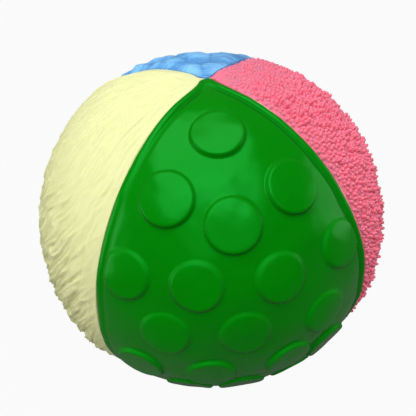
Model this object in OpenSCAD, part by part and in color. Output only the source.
// Sensory ball: four textured rubber gores on a hollow core, with a needle valve
// in the bottom pole. The origin is the ball's centre. +Z runs through the pole
// where the four gores meet, and -Y looks at the green gore.

/* [Ball] */
// Diameter over the tips of the nubs
ball_d = 100; // [80:1:130]
// Wall of a textured panel below its relief
panel_wall = 1.6; // [1.2:0.1:3]
// Wall of the hollow core
core_wall = 1.6; // [1.2:0.1:3]
// Gap between two neighbouring panels
seam_gap = 0.6; // [0.4:0.05:1.2]
// Glue line between a panel and the core
glue_line = 0.15; // [0.12:0.01:0.3]
// Width of the core's welts that show in the seams
welt_w = 0.3; // [0.2:0.05:0.35]
// Depth of the welts' tops below the panels
welt_recess = 0.2; // [0.1:0.1:1]
// Height of the lap where the core's halves overlap
lap_h = 3; // [1:0.5:6]

/* [Green panel] */
// Diameter of a disc at its foot
disc_d = 12.6; // [8:0.1:13]
// Height of a disc above the panel
disc_h = 1.2; // [0.6:0.1:2]
// How far a disc's side leans in from foot to top
disc_draft = 0.7; // [0.2:0.1:1]
// Bevel along a disc's top edge
disc_bevel = 0.4; // [0.1:0.1:0.6]
// Radius of the round bead along the panel's border
bead_r = 1; // [0.6:0.1:1.4]
// Height of the bead above the panel
bead_h = 0.45; // [0.2:0.05:0.6]
// Width of the groove beside the bead
groove_w = 0.8; // [0.6:0.1:2]
// Depth of the groove beside the bead
groove_depth = 0.3; // [0.1:0.05:0.5]

/* [Cream panel] */
// How much the panel swells between its borders
fold_swell = 0.8; // [0:0.1:1.2]
// Height of the folds on the swelling
fold_h = 1.2; // [0.5:0.1:2]
// Distance from fold to fold
fold_pitch = 4.4; // [4:0.1:8]
// Angle between the folds and the meridians below their turn
fold_slant = 34; // [10:1:45]
// Smooth band between the folds and the border
fold_band = 2; // [2:0.5:8]

/* [Pink panel] */
// Height of the nubs, the tallest relief of the ball
nub_h = 2; // [1:0.1:3]
// Distance from nub to nub
nub_pitch = 3.3; // [2.8:0.1:6]
// Smooth band between the nubs and the border
nub_band = 2; // [1:0.5:8]

/* [Blue panel] */
// Height of the pillow-shaped ripples
ripple_h = 1.8; // [0.5:0.1:2.5]
// Distance from one row of ripples to the next
ripple_pitch = 9; // [6:0.5:20]
// Length of a ripple along its row
ripple_l = 9; // [8:0.5:20]
// Smooth band between the ripples and the border
ripple_band = 1; // [1:0.5:8]

/* [Valve] */
// Bore for the inflating needle
needle_d = 2.1; // [1.6:0.1:2.4]
// Depth of the needle's bore
needle_depth = 8; // [5:0.5:9]
// Shaft of the soft insert
insert_d = 4.4; // [4:0.1:4.8]
// Head of the soft insert
insert_head_d = 6; // [5.4:0.1:6.4]
// Thickness of the insert's head
insert_head_t = 1.2; // [0.8:0.1:1.6]
// Length of the soft insert
insert_l = 11; // [10:0.5:12]
// Outer diameter of the valve's boot
boot_d = 8; // [7.4:0.1:9]
// Closed end of the boot beyond the insert
boot_end = 1.2; // [0.8:0.1:2]
// Flange of the boot inside the core
flange_d = 15; // [12:0.5:18]
// Thickness of the boot's flange
flange_t = 1.2; // [0.8:0.1:2]
// Reinforcing patch round the valve hole
patch_d = 24; // [19:0.5:30]
// Thickness of the patch
patch_t = 0.8; // [0.5:0.1:1.5]
// Radial clearance round the boot and its insert
valve_clearance = 0.05; // [0.02:0.01:0.1]
// Radial gap between the panels' cut tips and the boot
tip_clearance = 0.35; // [0.3:0.05:0.6]

/* [Hidden] */
$fn = 96;

// Radii of the shells, from the nubs' tips inwards
base_r = ball_d/2 - nub_h;
panel_in_r = base_r - panel_wall;
core_r = panel_in_r - glue_line;
core_in_r = core_r - core_wall;
patch_r = core_in_r - valve_clearance;
flange_r = patch_r - patch_t - valve_clearance;

// Overrun of every cut
cut = 1;

// Length of the facets on the panels' inner faces, and of those along a fold
inner_pitch = 5;
row_step = 4;

// Least number of facets round a panel's cut tip
tip_steps = 6;

// Azimuths of the four gores' middle planes
green_az = -90;
pink_az = 0;
blue_az = 90;
cream_az = 180;

// The seams lie halfway between two gores
seam_az = 45;

// Latitudes where the bead and its groove end, just short of both tips
bead_top_lat = 86;
bead_low_lat = -84;

// A panel's cut tip at the valve, and its sharp tip at the other pole
tip_cut_r = boot_d/2 + tip_clearance;
tip_rho = seam_gap/sqrt(2);

// Length of a gore's middle line from the top tip to the valve
gore_l = (acos(tip_rho/base_r) + acos(tip_cut_r/base_r))*base_r*PI/180;

// Where the folds begin to turn away from the green gore, and the length of the turn
turn_start = gore_l/6;
turn_l = gore_l/7;

// Latitude above which the folds no longer draw together towards the pole
fan_lat = 50;

// The lap between the core's halves takes the inner half of the wall
lap_r = core_in_r + core_wall/2;

// The valve's outer face lies level with the panels
valve_face_z = -base_r;

// Rows of discs, each with its latitude, its middle longitude, the step from
// disc to disc, the number of discs and how far its middle sags, in degrees
disc_rows = [
    [65.7, 0, 0, 1, 0], [48.3, 0.9, 24.1, 3, 5.9], [26.9, 0.6, 22.1, 4, 0.2],
    [10.1, 1.8, 22.8, 3, -1.6], [-5.4, 1.9, 21.5, 4, 0], [-22, 1.5, 23.5, 3, 0],
    [-39.5, 1.5, 28, 3, 0], [-56, 1.5, 39, 2, 0], [-71, 1.5, 0, 1, 0]
];

// Shared forms

function on_ball(r, lat, lon) = [r*cos(lat)*cos(lon), r*cos(lat)*sin(lon), r*sin(lat)];

function smooth(x) = let (t = min(1, max(0, x))) t*t*(3 - 2*t);

// The half angle that a gore takes up at a distance rho from the pole axis
function half_angle(rho) = 45 - asin(min(sin(45), seam_gap/2/rho));

// The quarter of space that belongs to a gore whose middle plane holds +X
module quarter(r) {
    translate([tip_rho, 0, 0])
        rotate([0, 0, -45])
            translate([0, 0, -r]) cube([2*r, 2*r, 2*r]);
}

// A piece of a spherical shell
module shell(r_out, r_in) {
    difference() {
        sphere(r_out);
        sphere(r_in);
    }
}

function middles(v) = [for (i = [1:1:len(v) - 1]) (v[i - 1] + v[i])/2];

function count_of(flags) = len([for (flag = flags) if (flag) flag]);

// Triangles between two rows of points. a and b are the rows' first points, and
// a_marks and b_marks say where their points lie side by side. Each edge of a row
// joins the point of the other row that lies beside its middle
function row_faces(a, a_marks, b, b_marks) =
    let (a_mid = middles(a_marks), b_mid = middles(b_marks)) concat(
        [for (i = [0:1:len(a_mid) - 1])
            [a + i, a + i + 1, b + count_of([for (m = b_mid) m < a_mid[i]])]],
        [for (j = [0:1:len(b_mid) - 1])
            [b + j + 1, b + j, a + count_of([for (m = a_mid) m <= b_mid[j]])]]
    );

function flipped(faces) = [for (f = faces) [f[2], f[1], f[0]]];

function running_sum(v, i = 0, s = 0) =
    i == len(v) ? [s] : concat([s], running_sum(v, i + 1, s + v[i]));

// Latitude of a row, from the sharp tip at the top to the cut tip at the valve
function row_lat(r, i, rows) =
    let (top = acos(tip_rho/r), bottom = -acos(tip_cut_r/r)) top + (bottom - top)*i/rows;

// Even places across a gore, from -1 to 1, in n steps
function even_places(n) = n == 0 ? [0] : [for (j = [0:n]) 2*j/n - 1];

// A point of a gore at radius r, on row i and at place u across it
function gore_point(r, i, rows, u, lean) =
    let (flat_lat = row_lat(r, i, rows), lat = flat_lat + lean(flat_lat, u))
        on_ball(r, lat, u*half_angle(r*cos(lat)));

// Half the width of a gore, measured along its surface
function half_width(lat) = base_r*cos(lat)*half_angle(base_r*cos(lat))*PI/180;

// Steps across each row of a gore, so that a step is about as long as pitch
function row_counts(rows, pitch) = [for (i = [0:rows])
    let (steps = 2*max(1, round(half_width(row_lat(base_r, i, rows))/pitch)))
        i == 0 ? 0 : i == rows ? max(tip_steps, steps) : steps];

// A gore with relief as one closed mesh. places holds each row's points across the
// gore, from the top tip to the valve, as values from -1 to 1. height(i, u) is the
// relief on row i at place u. lean(lat, u) moves a point along the meridian in
// degrees. mark(i, u) says which points of neighbouring rows lie side by side
module relief_gore(places, height, lean, mark) {
    rows = len(places) - 1;
    in_places = [for (n = row_counts(rows, inner_pitch)) even_places(n)];
    out_start = running_sum([for (row = places) len(row)]);
    in_start = [for (s = running_sum([for (row = in_places) len(row)])) out_start[rows + 1] + s];
    out_points = [for (i = [0:rows], u = places[i])
        gore_point(base_r + height(i, u), i, rows, u, lean)];
    in_points = [for (i = [0:rows], u = in_places[i]) gore_point(panel_in_r, i, rows, u, lean)];
    marks = [for (i = [0:rows]) [for (u = places[i]) mark(i, u)]];
    skin = [for (i = [0:rows - 1]) each
        row_faces(out_start[i], marks[i], out_start[i + 1], marks[i + 1])];
    lining = [for (i = [0:rows - 1]) each
        row_faces(in_start[i], in_places[i], in_start[i + 1], in_places[i + 1])];
    low_side = [for (i = [0:rows - 1]) each [
        [out_start[i], out_start[i + 1], in_start[i + 1]],
        [out_start[i], in_start[i + 1], in_start[i]]
    ]];
    high_side = [for (i = [1:rows]) each [
        [out_start[i + 1] - 1, out_start[i] - 1, in_start[i + 1] - 1],
        [out_start[i] - 1, in_start[i] - 1, in_start[i + 1] - 1]
    ]];
    valve_side = row_faces(out_start[rows], places[rows], in_start[rows], in_places[rows]);
    polyhedron(
        points = concat(out_points, in_points),
        faces = concat(skin, flipped(lining), low_side, high_side, valve_side)
    );
}

// Panels

module disc(r_top) {
    foot_r = disc_d/2;
    shoulder_r = foot_r - disc_draft;
    shoulder_z = r_top - disc_bevel;
    lid = disc_d/4;
    intersection() {
        sphere(r_top);
        rotate_extrude() polygon([
            [0, panel_in_r + panel_wall/2],
            [foot_r, panel_in_r + panel_wall/2],
            [foot_r, base_r - disc_h/2],
            [shoulder_r, shoulder_z - disc_bevel],
            [shoulder_r - lid, shoulder_z - disc_bevel + lid],
            [0, shoulder_z - disc_bevel + lid]
        ]);
    }
}

module discs() {
    for (row = disc_rows, k = [0:row[3] - 1]) {
        place = k - (row[3] - 1)/2;
        middle = 1 - abs(place)*2/max(1, row[3] - 1);
        lat = row[0] - row[4]*middle;
        rotate([0, 0, row[1] + row[2]*place])
            rotate([0, 90 - lat, 0])
                disc(base_r + disc_h);
    }
}

// A ring's arc that follows one border of the gore, at an inset from that border
module border_ring(side, inset, centre_r, tube_r) {
    rotate([0, 0, side*seam_az])
        translate([0, -side*(seam_gap/2 + inset), 0])
            rotate([90, 0, 0])
                rotate_extrude(angle = bead_top_lat - bead_low_lat, start = bead_low_lat)
                    translate([centre_r, 0]) circle(tube_r, $fn = 32);
}

module green_disc_panel() {
    bead_inset = 0.7*bead_r;
    groove_inset = bead_inset + bead_r + groove_w/2;
    groove_r = groove_w/2;
    color([0.05, 0.5, 0.05])
        rotate([0, 0, green_az])
            difference() {
                intersection() {
                    union() {
                        difference() {
                            sphere(base_r);
                            for (side = [-1, 1])
                                border_ring(side, groove_inset, base_r + groove_r - groove_depth,
                                            groove_r);
                        }
                        for (side = [-1, 1])
                            border_ring(side, bead_inset, base_r + bead_h - bead_r, bead_r);
                        discs();
                    }
                    quarter(ball_d);
                }
                sphere(panel_in_r);
                translate([0, 0, -ball_d]) cylinder(h = ball_d, r = tip_cut_r);
            }
}

// How far the relief has risen at place u of row i: 0 within the band, then 1
function rise(i, rows, u, band) =
    let (
        lat = row_lat(base_r, i, rows),
        to_border = (1 - abs(u))*half_width(lat),
        to_valve = (rows - i)*gore_l/rows
    ) smooth(to_border/band - 1)*smooth(to_valve/band);

// How far a fold has drifted from the green gore at a length l from the top tip. It
// starts along the meridian, then turns away at fold_slant
function drift(l) =
    let (t = min(1, max(0, (l - turn_start)/turn_l)))
        tan(fold_slant)*(turn_l*(pow(t, 3) - pow(t, 4)/2) + max(0, l - turn_start - turn_l));

// The panel swells between its borders. Its folds run down the gore and away from the
// green one. Every row has a point on each crest and in each valley, so the folds stay
// whole where they cross the rows
module cream_fold_panel() {
    rows = round(gore_l/row_step);
    half_pitch = fold_pitch/2;
    fan = function (i) half_width(0)*min(1, cos(row_lat(base_r, i, rows))/cos(fan_lat));
    mark = function (i, u) u*fan(i) + drift(i*gore_l/rows);
    places = [for (i = [0:rows])
        let (
            shift = drift(i*gore_l/rows),
            inner = fan(i) - half_pitch/2,
            first = ceil((shift - inner)/half_pitch),
            last = floor((shift + inner)/half_pitch)
        ) i == 0 ? [0]
        : i == rows ? even_places(tip_steps)
        : concat([-1], [for (k = [first:1:last]) (k*half_pitch - shift)/fan(i)], [1])];
    height = function (i, u)
        let (
            l = i*gore_l/rows,
            line = round(mark(i, u)/half_pitch),
            swell = 0.74 + 0.26*sin(l*11 + 97*line),
            share = abs(line) % 2 == 1 ? swell : 0.12*(1 + sin(l*7 + 31*line)),
            grown = 0.15 + 0.85*smooth((l - turn_start)/turn_l/2)
        ) (fold_swell + fold_h*share*grown)*rise(i, rows, u, fold_band);
    color([0.93, 0.93, 0.67])
        rotate([0, 0, cream_az]) relief_gore(places, height, function (lat, u) 0, mark);
}

// Every second row holds nubs at every second point, set halfway between those of
// the next row of nubs
module pink_nub_panel() {
    rows = 2*round(gore_l/nub_pitch);
    counts = row_counts(rows, nub_pitch/2);
    height = function (i, u)
        let (
            j = round((u + 1)/2*counts[i]),
            is_nub = i % 2 == 1 && (j + (i - 1)/2) % 2 == 0,
            clear = rise(i, rows, u, nub_band) > 0.5,
            tall = 0.85 + 0.15*cos(90*j + 180*i)
        ) is_nub && clear ? nub_h*tall : 0;
    color([0.95, 0.45, 0.53])
        rotate([0, 0, pink_az])
            relief_gore([for (n = counts) even_places(n)], height, function (lat, u) 0,
                        function (i, u) u);
}

// Pillow-shaped ripples in staggered rows, with a crease round each, set on wavy rows
module blue_ripple_panel() {
    ripples = round(gore_l/ripple_pitch);
    steps = 4;
    rows = ripples*steps;
    pillows = [for (k = [0:ripples])
        let (lat = row_lat(base_r, min(k + 0.5, ripples), ripples))
            max(1, round(2*half_width(lat)/ripple_l))];
    counts = [for (i = [0:rows]) i == 0 ? 0 : max(tip_steps, steps*pillows[floor(i/steps)])];
    wave = 5;
    height = function (i, u)
        let (
            row = floor(i/steps),
            up = sin(180*(i % steps)/steps),
            along = abs(sin(180*((u + 1)/2*counts[i]/steps + ((row + 1) % 2)/2))),
            swell = 0.85 + 0.15*sin(200*u + 137*row)
        ) ripple_h*sqrt(up)*(0.3 + 0.7*sqrt(along))*swell*rise(i, rows, u, ripple_band);
    lean = function (lat, u) wave*pow(cos(lat), 3)*sin(230*u + 5*lat);
    color([0.46, 0.7, 0.93])
        rotate([0, 0, blue_az])
            relief_gore([for (n = counts) even_places(n)], height, lean, function (i, u) u);
}

// Core

// Low rings in the planes of the seams, joined to the core's outside
module welts() {
    welt_r = base_r - welt_recess;
    for (side = [-1, 1])
        rotate([0, 0, side*seam_az])
            rotate([90, 0, 0])
                translate([0, 0, -welt_w/2]) cylinder(h = welt_w, r = welt_r);
}

// The ball that the core is cut from
module core_body() {
    difference() {
        union() {
            sphere(core_r);
            welts();
        }
        sphere(core_in_r);
    }
}

module core_upper_half() {
    color([0.86, 0.76, 0.55]) {
        union() {
            intersection() {
                core_body();
                translate([-ball_d, -ball_d, 0]) cube([2*ball_d, 2*ball_d, ball_d]);
            }
            intersection() {
                shell(lap_r, core_in_r);
                translate([-ball_d, -ball_d, -lap_h]) cube([2*ball_d, 2*ball_d, lap_h]);
            }
        }
    }
}

module core_lower_half() {
    color([0.82, 0.71, 0.5])
        difference() {
            core_body();
            translate([-ball_d, -ball_d, 0]) cube([2*ball_d, 2*ball_d, ball_d]);
            intersection() {
                sphere(lap_r);
                translate([-ball_d, -ball_d, -lap_h]) cube([2*ball_d, 2*ball_d, lap_h + cut]);
            }
            valve_hole();
        }
}

// Valve

// The hole through the core and its patch, and the space that the welts leave free
module valve_hole() {
    translate([0, 0, -ball_d]) cylinder(h = ball_d, r = boot_d/2 + valve_clearance);
    difference() {
        translate([0, 0, -ball_d]) cylinder(h = ball_d, r = tip_cut_r);
        sphere(core_r);
    }
}

module valve_patch() {
    color([0.75, 0.62, 0.4])
        difference() {
            intersection() {
                shell(patch_r, patch_r - patch_t);
                translate([0, 0, -ball_d]) cylinder(h = ball_d, r = patch_d/2);
            }
            valve_hole();
        }
}

module valve_housing() {
    inner_end_z = valve_face_z + insert_l + valve_clearance + boot_end;
    head_z = valve_face_z + insert_head_t + valve_clearance;
    color([0.62, 0.5, 0.32])
        difference() {
            union() {
                translate([0, 0, valve_face_z])
                    cylinder(h = inner_end_z - valve_face_z, r = boot_d/2);
                intersection() {
                    shell(flange_r, flange_r - flange_t);
                    translate([0, 0, -ball_d]) cylinder(h = ball_d, r = flange_d/2);
                }
            }
            translate([0, 0, valve_face_z])
                cylinder(h = insert_l + valve_clearance, r = insert_d/2 + valve_clearance);
            translate([0, 0, valve_face_z - cut])
                cylinder(h = cut + head_z - valve_face_z, r = insert_head_d/2 + valve_clearance);
        }
}

module valve_insert() {
    color([0.9, 0.86, 0.74])
        translate([0, 0, valve_face_z])
            difference() {
                union() {
                    cylinder(h = insert_head_t, r = insert_head_d/2);
                    cylinder(h = insert_l, r = insert_d/2);
                }
                translate([0, 0, -cut]) cylinder(h = cut + needle_depth, r = needle_d/2);
            }
}

green_disc_panel();
cream_fold_panel();
pink_nub_panel();
blue_ripple_panel();
core_upper_half();
core_lower_half();
valve_patch();
valve_housing();
valve_insert();
